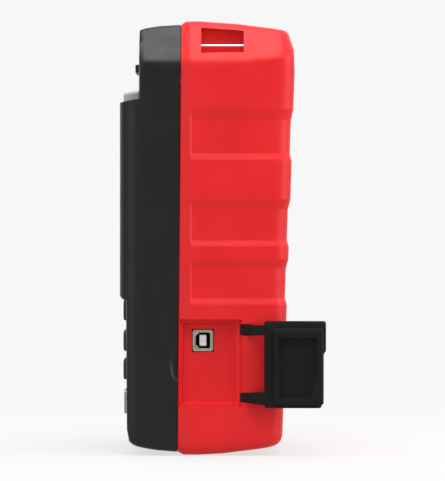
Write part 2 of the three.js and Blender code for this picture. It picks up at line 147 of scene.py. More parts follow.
LIP_Z = (209.3, 214.3)
DOOR_AXIS = (-33.2, 225.0)  # y, z
PLATEN_AXIS = (-27.5, 203.5)
PAPER_AXIS = (-10.0, 213.0)


# ------------------------------------------------------------------ materials
def wired(tree, kind, inputs):
    """A new shader node. An input given another node's output is linked to it; any other value is set."""
    node = tree.nodes.new("ShaderNode" + kind)
    for key, value in inputs.items():
        if isinstance(value, bpy.types.NodeSocket):
            tree.links.new(value, node.inputs[key])
        else:
            node.inputs[key].default_value = value
    return node


def coordinates(tree, kind):
    """Texture coordinates of the piece itself, or of the world around it."""
    return wired(tree, "TexCoord", {}).outputs[kind]


def principled(name, color, rough, **sockets):
    """A new material; sockets are set straight on its shader."""
    material = bpy.data.materials.new(name)
    material.use_nodes = True
    shader = material.node_tree.nodes["Principled BSDF"]
    shader.inputs["Base Color"].default_value = (*color, 1)
    shader.inputs["Roughness"].default_value = rough
    for key, value in sockets.items():
        shader.inputs[key.replace("_", " ")].default_value = value
    return material


def drive(material, source, socket):
    """Links a texture to a socket of the material's shader."""
    tree = material.node_tree
    tree.links.new(source, tree.nodes["Principled BSDF"].inputs[socket])


def noise(material, scale, detail, rough=0.55, stretch=None):
    """Noise in metres over the piece's own coordinates, finer as scale grows."""
    tree = material.node_tree
    source = coordinates(tree, "Object")
    if stretch:
        source = wired(tree, "Mapping", {"Scale": stretch, "Vector": source}).outputs["Vector"]
    node = wired(tree, "TexNoise", {"Scale": scale, "Detail": detail, "Roughness": rough, "Vector": source})
    return node.outputs["Fac"]


def gloss(material, source, low, high):
    """Drives the roughness between low and high by a texture's value."""
    node = wired(material.node_tree, "MapRange", {
        "From Min": 0.3, "From Max": 0.7, "To Min": low, "To Max": high, "Value": source})
    drive(material, node.outputs["Result"], "Roughness")


def tint(material, source, dark, light, start=0.3, end=0.7):
    """Colours the piece from dark to light as a texture's value goes from start to end."""
    ramp = wired(material.node_tree, "ValToRGB", {"Fac": source})
    for element, position, color in zip(ramp.color_ramp.elements, (start, end), (dark, light)):
        element.position = position
        element.color = (*color, 1)
    drive(material, ramp.outputs["Color"], "Base Color")


def emboss(material, source, height):
    """Bump of the given height in metres from a texture's value."""
    bump = wired(material.node_tree, "Bump", {"Distance": height, "Height": source})
    drive(material, bump.outputs["Normal"], "Normal")


def grained(name, color, light, rough, grain_scale, grain_height, **sockets):
    """Moulded surface: fine spark-eroded grain, slow drift of tone and of gloss."""
    material = principled(name, color, rough, **sockets)
    tint(material, noise(material, 35, 2), color, light)
    gloss(material, noise(material, 90, 4), rough - 0.04, rough + 0.06)
    emboss(material, noise(material, grain_scale, 2, 0.6), grain_height)
    return material


def brushed(name, color, rough, stretch):
    """Drawn metal: long fine scratches along one axis."""
    material = principled(name, color, rough, Metallic=1.0)
    streaks = noise(material, 700, 3, 0.6, stretch)
    gloss(material, streaks, rough - 0.07, rough + 0.1)
    emboss(material, streaks, 0.00001)
    return material


def wound(name, color, rough, centre, turns):
    """Paper wound on a roll: the edges of its turns are fine rings about the roll's axis."""
    material = principled(name, color, rough)
    tree = material.node_tree
    mapping = wired(tree, "Mapping", {
        "Location": [-c for c in centre], "Scale": (0.0, 1, 1), "Vector": coordinates(tree, "Object")})
    rings = wired(tree, "TexWave", {"Scale": turns, "Vector": mapping.outputs["Vector"]})
    rings.wave_type = "RINGS"
    rings.rings_direction = "SPHERICAL"
    tint(material, rings.outputs["Fac"], tuple(0.86 * c for c in color), color)
    return material


def glazed(name, border, panel, rough, half, middle):
    """Smoked window: a black printed border round the grey-green field of the display behind it."""
    material = principled(name, border, rough, Coat_Weight=0.3, Coat_Roughness=0.05)
    tree = material.node_tree
    apart = wired(tree, "SeparateXYZ", {"Vector": coordinates(tree, "Object")})
    both = wired(tree, "Math", {})
    both.operation = "MULTIPLY"
    for index, (axis, centre) in enumerate((("X", 0.0), ("Z", middle))):
        within = wired(tree, "Math", {0: apart.outputs[axis], 1: centre, 2: half[index]})
        within.operation = "COMPARE"
        tree.links.new(within.outputs["Value"], both.inputs[index])
    tint(material, both.outputs["Value"], border, panel, 0.0, 1.0)
    gloss(material, noise(material, 60, 4), rough - 0.02, rough + 0.08)
    return material


RED = grained("red_case_plastic", (0.76, 0.011, 0.014), (0.82, 0.015, 0.018), 0.42, 2600, 0.00004,
              Specular_IOR_Level=0.32)
BLACK = grained("black_case_plastic", (0.0042, 0.0042, 0.0037), (0.0056, 0.0055, 0.0049), 0.38, 2200,
                0.00005, Specular_IOR_Level=0.42)
RUBBER = grained("black_soft_rubber", (0.0065, 0.0068, 0.0066), (0.0088, 0.0090, 0.0088), 0.6, 1500,
                 0.00005, Specular_IOR_Level=0.2)
KEY_GREY = grained("key_rubber", (0.030, 0.030, 0.032), (0.038, 0.038, 0.040), 0.62, 1800, 0.00004,
                   Specular_IOR_Level=0.3)
SILVER = grained("silver_painted_trim", (0.40, 0.40, 0.385), (0.46, 0.46, 0.445), 0.38, 3500, 0.00002,
                 Metallic=0.45)
STEEL = brushed("bright_steel", (0.72, 0.71, 0.69), 0.3, (1, 0.04, 1))
NICKEL = brushed("nickel_plate", (0.60, 0.54, 0.42), 0.3, (0.08, 1, 1))
BRASS = brushed("contact_gold", (0.83, 0.62, 0.28), 0.25, (0.3, 1, 1))
BOARD = grained("green_solder_mask", (0.010, 0.10, 0.035), (0.014, 0.13, 0.045), 0.35, 500, 0.00004)
WHITE = grained("white_nylon", (0.78, 0.78, 0.75), (0.84, 0.84, 0.81), 0.5, 1200, 0.00002)
SOCKET = grained("black_socket_liner", (0.004, 0.005, 0.004), (0.006, 0.007, 0.006), 0.55, 1200, 0.00002,
                 Specular_IOR_Level=0.2)
PAPER = wound("thermal_paper", (0.84, 0.84, 0.80), 0.7, (0, -0.010, 0.213), 900)
WINDOW = glazed("smoked_window", (0.004, 0.004, 0.005), (0.060, 0.075, 0.062), 0.1, (0.0365, 0.0275), 0.143)


# ------------------------------------------------------------------ numpy helpers
def smooth_max(a, b, width):
    """The larger of a and b, rounded over where they differ by less than width."""
    blend = np.maximum(width - np.abs(a - b), 0.0) / width
    return np.maximum(a, b) + blend * blend * width * 0.25


def smooth_step(t):
    """0 below 0, 1 above 1, and a smooth cubic between."""
    t = np.clip(t, 0.0, 1.0)
    return t * t * (3 - 2 * t)


def parting(z):
    """Y of the parting plane at height z."""
    return PARTING_FOOT + PARTING_LEAN * z


def between(value, low, high, soft):
    """1 well inside low..high, 0 outside, with a smooth edge of width soft just inside each end."""
    return smooth_step((value - low) / soft) * smooth_step((high - value) / soft)


def lines(start, stop, step, *extra):
    """Evenly spaced values with extra ones merged in."""
    count = max(int(round(abs(stop - start) / step)), 1)
    values = np.concatenate([np.linspace(start, stop, count + 1), np.asarray(extra, float)])
    return merged(values[(values >= min(start, stop) - 1e-9) & (values <= max(start, stop) + 1e-9)])


def merged(values, gap=0.03):
    """Sorted values without near repeats."""
    values = np.sort(values)
    keep = np.concatenate([[True], np.diff(values) > gap])
    return values[keep]


def edge_lines(positions, soft=0.5):
    """Grid lines across a step's soft edge, on either side of each position."""
    across = np.array([-0.5, -0.25, 0.0, 0.12, 0.3, 0.5, 0.7, 0.88, 1.0, 1.25, 1.5]) * soft
    signed = [(p, 1) for p in positions[::2]] + [(p, -1) for p in positions[1::2]]
    return np.concatenate([p + s * across for p, s in signed])


def reach(field, origin, way, longest):
    """Where each ray from inside leaves the solid, by halving the interval; the field is negative inside."""
    low = np.zeros(origin.shape[:-1])
    high = np.full(origin.shape[:-1], float(longest))
    for _ in range(32):
        middle = (low + high) / 2
        inside = field(origin + way * middle[..., None]) < 0
        low = np.where(inside, middle, low)
        high = np.where(inside, high, middle)
    return origin + way * low[..., None]


def make_piece(name, vertices, faces, material, body, slot, sharp=35.0, stands_for=()):
    """A mesh object from millimetre vertices and faces, put on its body with its finish."""
    mesh = bpy.data.meshes.new(name)
    mesh.from_pydata((np.asarray(vertices) * MM).tolist(), [], faces)
    mesh.validate()
    mesh.polygons.foreach_set("use_smooth", np.ones(len(mesh.polygons), bool))
    mesh.set_sharp_from_angle(angle=math.radians(sharp))
    mesh.materials.append(material)
    piece = bpy.data.objects.new(name, mesh)
    bpy.context.scene.collection.objects.link(piece)
    if body:
        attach(piece, body)
    if stands_for:
        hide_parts(*stands_for)
    return piece


def signed_volume(vertices, faces):
    """Sum of the tetrahedra between the origin and the triangle fan of each face."""
    total = 0.0
    for size in {len(face) for face in faces}:
        same = np.array([face for face in faces if len(face) == size])
        first = vertices[same[:, 0]]
        for k in range(1, size - 1):
            total += np.einsum("ij,ij->", first, np.cross(vertices[same[:, k]], vertices[same[:, k + 1]]))
    return total / 6


def outward(vertices, faces):
    """The same solid with its faces pointing out."""
    return vertices, faces if signed_volume(vertices, faces) > 0 else [face[::-1] for face in faces]


def tidy_faces(quads):
    """Quads as lists, with a quad that has two equal neighbours turned into a triangle."""
    quads = np.asarray(quads)
    same = quads == np.roll(quads, -1, axis=1)
    whole = quads[~same.any(axis=1)].tolist()
    halves = []
    for corner in range(4):
        pick = same[:, corner] & (same.sum(axis=1) == 1)
        halves += np.delete(quads[pick], corner, axis=1).tolist()
    return whole + halves


def grid_quads(ids):
    """Quads of a grid of vertex numbers."""
    return np.stack([ids[:-1, :-1], ids[:-1, 1:], ids[1:, 1:], ids[1:, :-1]], axis=-1).reshape(-1, 4)


def thick_skin(outer, inner, quads):
    """Closed wall between two skins of the same grid: both skins, and a strip at every free edge."""
    count = len(outer)
    edges = np.concatenate([quads[:, [i, (i + 1) % 4]] for i in range(4)])
    edges = edges[edges[:, 0] != edges[:, 1]]
    key = np.sort(edges, axis=1)
    _, where, times = np.unique(key, axis=0, return_inverse=True, return_counts=True)
    free = edges[times[where.ravel()] == 1]
    strip = np.stack([free[:, 1], free[:, 0], free[:, 0] + count, free[:, 1] + count], axis=-1)
    faces = tidy_faces(quads) + tidy_faces(quads[:, ::-1] + count) + strip.tolist()
    return outward(np.concatenate([outer, inner]), faces)


def drop_unused(vertices, faces):
    """Only the vertices that a face uses, renumbered."""
    flat = np.concatenate([np.asarray(face) for face in faces])
    used, renumbered = np.unique(flat, return_inverse=True)
    ends = np.cumsum([len(face) for face in faces])[:-1]
    return vertices[used], [part.tolist() for part in np.split(renumbered, ends)]


def round_hole(u, v, half_u, half_v, radius, fade):
    """Bends a grid so that the square corners of a hole's outline become round.

    In each corner cell the square of side radius maps to a quarter disc: a point moves along its own
    direction until its distance is its larger coordinate. The shift dies away over fade outside the hole."""
    p = np.abs(u) - (half_u - radius)
    q = np.abs(v) - (half_v - radius)
    corner = (p > 0) & (q > 0)
    larger = np.maximum(p, q)
    length = np.maximum(np.hypot(p, q), 1e-9)
    weight = np.where(corner, 1 - smooth_step((larger - radius) / fade), 0.0)
    shrink = 1 + (larger / length - 1) * weight
    new_u = np.where(corner, np.sign(u) * (half_u - radius + p * shrink), u)
    new_v = np.where(corner, np.sign(v) * (half_v - radius + q * shrink), v)
    return new_u, new_v


def rounded(half_u, half_v, radius, centre=(0.0, 0.0), arc=6, side=0, straight=()):
    """Closed loop of a rectangle with round corners, counted from the (+, +) one.

    Each corner is a quarter circle about its own centre, or the chord of it where the corner is in straight;
    side more points lie evenly on each flat between two corners."""
    radius = np.minimum(np.broadcast_to(radius, 4), min(half_u, half_v))[:, None]
    sign = np.array([(1, 1), (-1, 1), (-1, -1), (1, -1)])
    turn = np.linspace(0, 1, arc)
    angle = (np.arange(4)[:, None] + turn) * (math.pi / 2)
    bend = np.stack([np.cos(angle), np.sin(angle)], axis=-1)
    chord = bend[:, :1] * (1 - turn[:, None]) + bend[:, -1:] * turn[:, None]
    is_chord = np.isin(np.arange(4), straight)[:, None, None]
    middle = sign * (np.array([half_u, half_v]) - radius)
    corner = middle[:, None] + np.where(is_chord, chord, bend) * radius[:, None]
    share = np.linspace(0, 1, side + 2)[None, 1:-1, None]
    flat = corner[:, -1:] * (1 - share) + np.roll(corner[:, :1], -1, axis=0) * share
    return np.concatenate([corner, flat], axis=1).reshape(-1, 2) + centre


def levels(rows, centre, **form):
    """Stack of rounded rectangles, one for each (half_u, half_v, radius, depth), as (u, v, depth) points."""
    return np.stack([flat_loop(rounded(u, v, radius, centre, **form), depth) for u, v, radius, depth in rows])


def flat_loop(points, depth):
    """Loop of (u, v) points, all at one depth."""
    return np.column_stack([points, np.full(len(points), depth)])


def circles(rows, centre, sides):
    """Stack of rings, one for each (radius, depth) or (radius, depth, lobes).

    A ring's radius is multiplied by 1 + lobes cos 6 angle."""
    angle = np.linspace(0, 2 * math.pi, sides, endpoint=False)
    around = np.stack([np.cos(angle), np.sin(angle)], axis=-1)
    stack = []
    for radius, depth, *lobes in rows:
        far = radius * (1 + sum(lobes) * np.cos(6 * angle))
        stack.append(flat_loop(centre + far[:, None] * around, depth))
    return np.stack(stack)


def stand(rings, axis):
    """Puts (u, v, depth) points on x, y and z for a piece whose depth runs along an axis."""
    return rings[..., {"x": [2, 0, 1], "y": [0, 2, 1], "z": [0, 1, 2]}[axis]]


def lofted(rings, closed=False):
    """Skin over a stack of loops: a strip between each two, with flat ends, or last joined to first."""
    count, around = rings.shape[:2]
    ids = np.arange(count * around).reshape(count, around)
    wrapped = np.concatenate([ids, ids[:, :1]], axis=1)
    if closed:
        wrapped = np.concatenate([wrapped, wrapped[:1]])
    faces = grid_quads(wrapped).tolist()
    if not closed:
        faces += [ids[0][::-1].tolist(), ids[-1].tolist()]
    return outward(rings.reshape(-1, 3), faces)


def turned(rows, centre, sides, axis, closed=False):
    """Solid over a stack of rings."""
    return lofted(stand(circles(rows, centre, sides), axis), closed)


def stacked(rows, centre, axis, **form):
    """Solid over a stack of rounded rectangles."""
    return lofted(stand(levels(rows, centre, **form), axis))


def joined(solids):
    """Several closed solids in one mesh."""
    starts = np.cumsum([0] + [len(vertices) for vertices, _ in solids])
    faces = [[index + start for index in face] for (_, own), start in zip(solids, starts) for face in own]
    return np.concatenate([vertices for vertices, _ in solids]), faces


def relief(u, v, top, bottom, axis):
    """Plate over a grid: top(u, v) gives the moved u, v and the depth of its face; its back is at bottom."""
    grid_u, grid_v = np.meshgrid(u, v, indexing="ij")
    new_u, new_v, depth = top(grid_u, grid_v)
    outer, inner = (stand(np.stack([new_u, new_v, level], axis=-1), axis).reshape(-1, 3)
                    for level in (depth, np.full_like(depth, bottom)))
    return thick_skin(outer, inner, grid_quads(np.arange(grid_u.size).reshape(grid_u.shape)))


# ------------------------------------------------------------------ casing halves
FOOT_EASE = 5.0  # how far up the end edge's own shape bends the rows of a shell's grid
TOP_EASE = 24.0  # and how far down at the top
CORE_TAPER_Z = [208, 231]  # the cores narrow with the shoulders between these heights
REAR_CORE = 51.0  # half width of the core that the rays start from
FRONT_CORE = 51.5
STRAIGHT_HALF = 35.0  # the black face's columns stay upright as far out as this
OUTSIDE = 110.0  # rays for the end caps start at this height


class HalfShell:
    """Grid of a shoe-box half: two sides and a face joined by round corners, and two end caps.

    Columns run side, corner, face, corner, side; rows run from the foot to the top, and the first and last
    rows turn over the rounded end edges on to the caps. Every vertex is where a ray from an inner core
    leaves the field, so both skins of the wall share one grid."""

    def __init__(self, sense, side, turn, face, rows, turn_rows):
        self.sense = sense
        self.side = side  # 0..1 to the end of the rim, then y from there on
        self.turn = turn[1:-1]
        self.face = face
        self.rows = rows
        self.turn_rows = turn_rows
        ns, nc, nf = len(side), len(self.turn), len(face)
        self.shape = (ns, nc, nf)
        lean = np.concatenate([np.zeros(ns), self.turn, np.full(nf, 90.0), self.turn[::-1], np.zeros(ns)])
        self.angle = np.radians(lean)
        self.across = np.concatenate([-np.ones(ns + nc), face, np.ones(ns + nc)])
        over = np.linspace(0, 90, turn_rows + 1)[1:]
        self.tilt = np.radians(np.concatenate([-over[::-1], np.zeros(len(rows)), over]))
        n, m = len(self.tilt), len(self.angle)
        ids = np.arange(n * m).reshape(n, m)
        for row in (0, n - 1):
            ids[row, ns - 1:ns + nc + 1] = ids[row, ns - 1]
            ids[row, m - ns - nc - 1:m - ns + 1] = ids[row, m - ns]
        caps = []
        for index, row in enumerate((0, n - 1)):
            cap = n * m + index * ns * nf + np.arange(ns * nf).reshape(ns, nf)
            cap[:, 0] = ids[row, :ns]
            cap[:, -1] = ids[row, m - ns:][::-1]
            cap[-1, :] = ids[row, ns + nc:ns + nc + nf]
            caps.append(cap)
        self.ids, self.caps = ids, caps
        quads = [grid_quads(ids), grid_quads(caps[0])[:, ::-1], grid_quads(caps[1])]
        self.quads = np.concatenate(quads)
        self.wall_count = len(quads[0])

    def build(self, field, core_x, core_y, ends, lanes, shift=None, press=None):
        """Vertices of one skin.

        lanes(z) gives the y of the side columns, ends(y) the heights where the end edges start to turn,
        shift moves face points sideways before their rays are cast, and press pushes features in."""
        ns, _, nf = self.shape
        m = len(self.angle)
        side_y = lanes(np.full((1, 1), self.rows.mean()))[0]
        column_y = np.concatenate([side_y, np.full(m - 2 * ns, core_y), side_y[::-1]])
        low, high = ends(column_y, self.angle)
        rows = self.rows[:, None]
        z_wall = (rows + (low - rows[0]) * (1 - smooth_step((rows - rows[0]) / FOOT_EASE))
                  + (high - rows[-1]) * smooth_step((rows - rows[-1] + TOP_EASE) / TOP_EASE))
        turns = self.turn_rows
        z = np.concatenate([np.repeat(low[None, :], turns, 0), z_wall, np.repeat(high[None, :], turns, 0)])
        side_y = lanes(z[:, :1])
        y = np.concatenate([side_y, np.full((len(z), m - 2 * ns), core_y), side_y[:, ::-1]], axis=1)
        x = core_x(self.across[None, :], z)
        if shift is not None:
            x, z = shift(x, z, self.angle[None, :] > 1.5)
        origin = np.stack([x, y, z], axis=-1)
        level = np.stack([np.cos(self.angle) * np.sign(self.across + 1e-9),
                          np.sin(self.angle) * self.sense], axis=-1)
        way = np.concatenate([
            np.cos(self.tilt)[:, None, None] * level[None, :, :],
            np.sin(self.tilt)[:, None, None] * np.ones((1, m, 1)),
        ], axis=-1)
        wall = reach(field, origin, way, 90)
        if press is not None:
            wall = press(wall, self.angle[None, :], self.across[None, :], self.tilt[:, None])
        skins = [wall.reshape(-1, 3)]
        for index, row in enumerate((0, len(z) - 1)):
            cap_y = y[row, :ns, None] * np.ones((1, nf))
            cap_x = core_x(self.face[None, :], z[row, 0]) * np.ones((ns, 1))
            start = np.stack([cap_x, cap_y, np.full_like(cap_x, OUTSIDE)], axis=-1)
            way = np.zeros_like(start)
            way[..., 2] = -1.0 if index == 0 else 1.0
            cap = reach(field, start, way, 160)
            if press is not None:
                cap = press(cap, None, None, way[..., 2])
            skins.append(cap.reshape(-1, 3))
        return np.concatenate(skins)


def past_shoulder(across, z):
    """How far a point lies past the sloping shoulder, square to it."""
    rise, run, length = SHOULDER
    return (across * rise + (z - CREASE_Z) * run) / length


def rear_field(inset):
    """Red shell's body, inset millimetres in: sides and back with grooves, shoulders, top and foot."""
    def field(p):
        x, y, z = np.abs(p[..., 0]), p[..., 1], p[..., 2]
        groove = 0
        for ramp in GROOVES:
            groove = groove + np.interp(z, ramp, [0, GROOVE_DEPTH, GROOVE_DEPTH, 0])
        rim = np.clip((RIM_END - y) / (RIM_END - parting(z)), 0, 1)
        reach_in = groove * smooth_step((y - RIM_END) / 1.2)
        camber = REAR_CAMBER * np.maximum(y - 6, 0) ** 2
        edge = 0.5 * (1 - np.clip((y - parting(z) - PARTING_GAP) / 0.8, 0, 1)) ** 2
        side = x - (REAR_HALF - inset - reach_in - RIM_FLARE * rim - camber - edge)
        back = y - (np.interp(z, *BACK_LINE) - inset - groove)
        shoulder = past_shoulder(x - REAR_HALF + RIM_FLARE * rim, z) + inset
        top = z - np.interp(y, *REAR_TOP) + inset
        foot = np.interp(y, *REAR_FOOT) - z + inset
        wall = smooth_max(side, shoulder, 1.6)
        deep = smooth_max(back, top, 2.6)
        width = 3.0 + 6.0 * smooth_step((back - top + 6) / 12)
        return smooth_max(smooth_max(wall, deep, width), foot, 6.5)
    return field


def front_field(inset):
    """Black shell's body: sides, the stepped front face, shoulders, top and foot."""
    def field(p):
        x, y, z = np.abs(p[..., 0]), p[..., 1], p[..., 2]
        side = x - (FRONT_HALF - inset - FRONT_CAMBER * np.maximum(FRONT_BEND - y, 0) ** 2)
        module = MODULE_Y - y + inset
        face = np.interp(z, *FRONT_FACE) - y + inset
        shoulder = past_shoulder(x - FRONT_HALF, z) + inset
        top = z - np.interp(y, *FRONT_TOP) + inset
        foot = np.interp(y, *FRONT_FOOT) - z + inset
        wall = smooth_max(smooth_max(side, module, 11), shoulder, 1.6)
        wall = smooth_max(wall, face, 1.3)
        return smooth_max(smooth_max(wall, top, 1.4), foot, 5.0)
    return field


def side_press_rear(inset):
    """Pockets pressed into the red shell: port recess, strap and lanyard slots, cable pocket, screw wells.

    Each is a product of smooth steps that is 1 inside its outline, times how deep it goes."""
    def framed(u, low_u, high_u, v, low_v, high_v, soft=0.5):
        return (between(u, low_u - inset, high_u + inset, soft)
                * between(v, low_v - inset, high_v + inset, soft))

    def press(p, angle, across, tilt):
        x, y, z = p[..., 0], p[..., 1], p[..., 2]
        if angle is None:
            half, front, back, floor = PORT_POCKET
            inside = framed(x, -half, half, y, front, back) * (tilt > 0)
            return np.stack([x, y, z + (np.minimum(floor - inset, z) - z) * inside], axis=-1)
        side = (np.abs(angle) < 1e-6)
        near = parting(z) + RECESS_Y[0]
        ledge = framed(y, near, RECESS_Y[1], z, *RECESS_Z)
        pit = (smooth_step((y - near - 1.3 + inset) / 0.9) * np.clip((19.0 + inset - y) / 4.0, 0, 1)
               * smooth_step((z - PIT_Z[0] + inset) / 0.9) * smooth_step((PIT_Z[1] + inset - z) / 0.9))
        port = framed(y, USB_Y - USB_OPEN[0], USB_Y + USB_OPEN[0],
                      z, USB_Z - USB_OPEN[1], USB_Z + USB_OPEN[1], 0.4)
        sunk = x + (np.minimum(LEDGE_X - inset, x) - x) * ledge
        sunk = sunk - (LEDGE_X - FLOOR_X) * pit * (ledge > 0.5) - (FLOOR_X - USB_HOLE_X) * port * (pit > 0.5)
        for low, high in STRAPS_Z:
            notch = (between(z, low - 0.5 - inset, high + 0.5 + inset, 0.4)
                     * between(y, STRAP_NOTCH_Y[0], STRAP_NOTCH_Y[1] + inset, 0.4))
            sunk = np.where(notch > 0, np.minimum(sunk, x + (LEDGE_X - inset - x) * notch), sunk)
        x = np.where(side & (across > 0), sunk, x)
        slot = framed(y, *SLOT_Y, z, SLOT_FOOT, np.interp(y, *REAR_TOP) - SLOT_BELOW_TOP)
        depth = np.maximum(np.abs(x) - (SLOT_FLOOR_X - inset), 0) * slot
        x = np.where(side, x - np.sign(x) * depth, x)
        back = np.abs(angle - math.pi / 2) < 1e-6
        for wx, wz in SCREWS:
            far = np.hypot(x - wx, z - wz)
            well = smooth_step((WELL_R + 0.3 + inset - far) / 0.5) * back
            y = y + (np.minimum(WELL_FLOOR_Y - inset, y) - y) * well
        return np.stack([x, y, z], axis=-1)
    return press


def side_lanes(side, split, gap, rim_end):
    """Where the side columns stand in y: the first split ones spread over the rim, the others stay put."""
    def lanes(z):
        start = parting(z) + gap
        near = start + (rim_end - start) * side[None, :split]
        return np.concatenate([near, np.ones_like(z) * side[None, split:]], axis=1)
    return lanes


def holes_rounded(x, z, on_face, centres, half, radius, margin, fade):
    """Rounds the corners of the grid round each hole of a face."""
    for hole_x, hole_z in centres:
        u, v = x - hole_x, z - hole_z
        near = (np.abs(u) < margin[0]) & (np.abs(v) < margin[1]) & on_face
        new_u, new_v = round_hole(u, v, *half, radius, fade)
        x, z = np.where(near, hole_x + new_u, x), np.where(near, hole_z + new_v, z)
    return x, z


def rear_shell():
    """Red rear half."""
    rim = np.concatenate([[0, 0.03, 0.08], edge_lines([0.8]) / RIM_WIDE, edge_lines([2.1], 0.9) / RIM_WIDE,
                          np.linspace(0.5, 1, 5)])
    rim = merged(rim[(rim >= 0) & (rim <= 1)], 0.004)
    fixed = lines(RIM_END, 34, 2.4, *edge_lines([-6.0, 5.8], 0.4), *edge_lines(SLOT_Y),
                  *edge_lines(PORT_POCKET[1:3]), *edge_lines([0, RECESS_Y[1]]),
                  *(RIM_END + np.linspace(0, 1.4, 4)), *np.linspace(14.6, 19.4, 7),
                  *edge_lines([0, STRAP_NOTCH_Y[1]], 0.4))[1:]
    side = np.concatenate([rim, fixed])
    ramps = np.concatenate([np.array(groove)[:, None] + [-0.5, 0, 0.5] for groove in GROOVES]).ravel()
    heights = lines(7, 232.2, 3.0, *ramps, *edge_lines(RECESS_Z), *np.linspace(27.8, 28.9, 4),
                    *np.linspace(70.7, 71.8, 4), *edge_lines([USB_Z - USB_OPEN[1], USB_Z + USB_OPEN[1]], 0.4),
                    *edge_lines([28.4, 33.9], 0.4), *edge_lines([64.6, 71.0], 0.4), *edge_lines([SLOT_FOOT]),
                    *np.linspace(229.4, 232.2, 15), CREASE_Z - 1, CREASE_Z, CREASE_Z + 1,
                    *well_lines(SCREW_Z))
    face = merged(np.concatenate([np.linspace(-REAR_CORE, REAR_CORE, 35), well_lines(SCREW_X),
                                  edge_lines([-PORT_POCKET[0], PORT_POCKET[0]])])) / REAR_CORE
    grid = HalfShell(1, side, np.linspace(0, 90, 11), face[np.abs(face) <= 1], heights, 9)
    lanes = side_lanes(side, len(rim), PARTING_GAP, RIM_END)

    def skin(inset):
        def ends(y, angle):
            top = np.interp(y, *REAR_TOP) - 2.2 - inset
            high = top + (221 - top) * np.maximum(np.sin(angle) ** 2, smooth_step((y - 25) / 9))
            low = np.interp(y, *REAR_FOOT) + 5.5 + inset
            return low, high

        def core_x(across, z):
            return across * np.interp(z, CORE_TAPER_Z, [REAR_CORE, 42.6])

        def shift(x, z, on_face):
            return holes_rounded(x, z, on_face, SCREWS, (WELL_R, WELL_R), WELL_R, (8, 8), 1.5)

        return grid.build(rear_field(inset), core_x, 34.0, ends, lanes, shift, side_press_rear(inset))

    vertices, faces = drop_unused(*thick_skin(skin(0.0), skin(WALL), grid.quads))
    make_piece("red_rear_casing", vertices, faces, RED, "casing", "red_plastic", 38, ["rear_shell"])


def well_lines(centres):
    """Grid lines across round wells."""
    across = np.array([0, 0.45, 0.75, 0.92, 1.0, 1.05, 1.12, 1.25]) * WELL_R
    both = np.concatenate([-across[::-1], across[1:]])
    return np.concatenate([c + both for c in centres])


def front_shell():
    """Black front half with the display seat, key holes and paper door opening."""
    rim = np.linspace(0, 1, 14)
    side = np.concatenate([rim, -lines(-FRONT_BEND, 30, 2.2)[1:]])
    holes_x = np.concatenate([hole_lines(x, KEY_HOLE[0]) for x in KEY_X])
    holes_z = np.concatenate([hole_lines(z, KEY_HOLE[1]) for z in KEY_Z])
    steps = [83.9, 84.1, 84.6, 85.5, 86.1, 86.6, 190.4, 191.0, 191.4, 191.9, 192.5, 193.2, 193.7]
    heights = lines(12, 228.4, 3.2, *steps, *edge_lines(SEAT_Z, 0.4), *edge_lines(WINDOW_HOLE_Z, 0.3),
                    *edge_lines(DOOR_HOLE_Z, 0.3), *holes_z, *np.linspace(THUMB_Z - 11.5, THUMB_Z + 11.5, 24),
                    CREASE_Z - 2, CREASE_Z - 1, CREASE_Z)
    face = merged(np.concatenate([
        np.linspace(-FRONT_CORE, FRONT_CORE, 33), edge_lines([-SEAT_HALF, SEAT_HALF], 0.4),
        edge_lines([-WINDOW_HOLE_HALF, WINDOW_HOLE_HALF], 0.3),
        edge_lines([-DOOR_HOLE_HALF, DOOR_HOLE_HALF], 0.3), holes_x])) / FRONT_CORE
    grid = HalfShell(-1, side, np.linspace(0, 90, 11), face[np.abs(face) <= 1], heights, 8)
    lanes = side_lanes(side, len(rim), -PARTING_GAP, FRONT_BEND)

    def skin(inset):
        def ends(y, angle):
            high = np.interp(y, *FRONT_TOP) - 1.8 - inset
            low = np.interp(y, *FRONT_FOOT) + 4.0 + inset
            high = np.where(angle > 0.01, np.minimum(high, 228.4 - inset), high)
            return low, high

        def core_x(across, z):
            wide = np.interp(z, CORE_TAPER_Z, [FRONT_CORE, 42.4])
            x = np.abs(across) * FRONT_CORE
            bent = STRAIGHT_HALF + (x - STRAIGHT_HALF) * (wide - STRAIGHT_HALF) / (FRONT_CORE - STRAIGHT_HALF)
            return np.sign(across) * np.where(x > STRAIGHT_HALF, bent, x)

        def shift(x, z, on_face):
            centres = [(key_x, key_z) for key_x in KEY_X for key_z in KEY_Z]
            margin = (KEY_HALF[0] + 2.2, KEY_HALF[1] + 2.2)
            return holes_rounded(x, z, on_face, centres, KEY_HOLE, KEY_CORNER, margin, 1.2)

        def press(p, angle, across, _):
            x, y, z = p[..., 0], p[..., 1], p[..., 2]
            if angle is None:
                return p
            on_face = np.abs(angle - math.pi / 2) < 1e-6
            seat_y = np.where(z < SEAT_Z[1], SEAT_Y, SHELF_Y - 0.2) + inset
            sunk = (between(x, -SEAT_HALF - inset, SEAT_HALF + inset, 0.4)
                    * smooth_step((z - SEAT_Z[0] + inset) / 0.4) * (z < 194) * on_face)
            y = y + (np.maximum(seat_y, y) - y) * sunk
            scoop = 1 - ((y - parting(z)) / THUMB_HALF[0]) ** 2 - ((z - THUMB_Z) / THUMB_HALF[1]) ** 2
            bottom = FRONT_HALF + 1.2 - inset - 3.0 * np.sqrt(np.maximum(scoop, 0))
            beside = (np.abs(angle) < 1e-6) & (across > 0) & (scoop > 0)
            x = np.where(beside, np.minimum(x, bottom), x)
            return np.stack([x, y, z], axis=-1)

        return grid.build(front_field(inset), core_x, -30.0, ends, lanes, shift, press)

    outer = skin(0.0)
    stays = open_faces(grid, outer[grid.quads].mean(axis=1))
    vertices, faces = drop_unused(*thick_skin(outer, skin(WALL), grid.quads[stays]))
    make_piece("black_front_casing", vertices, faces, BLACK, "casing", "black_plastic", 38, ["front_shell"])


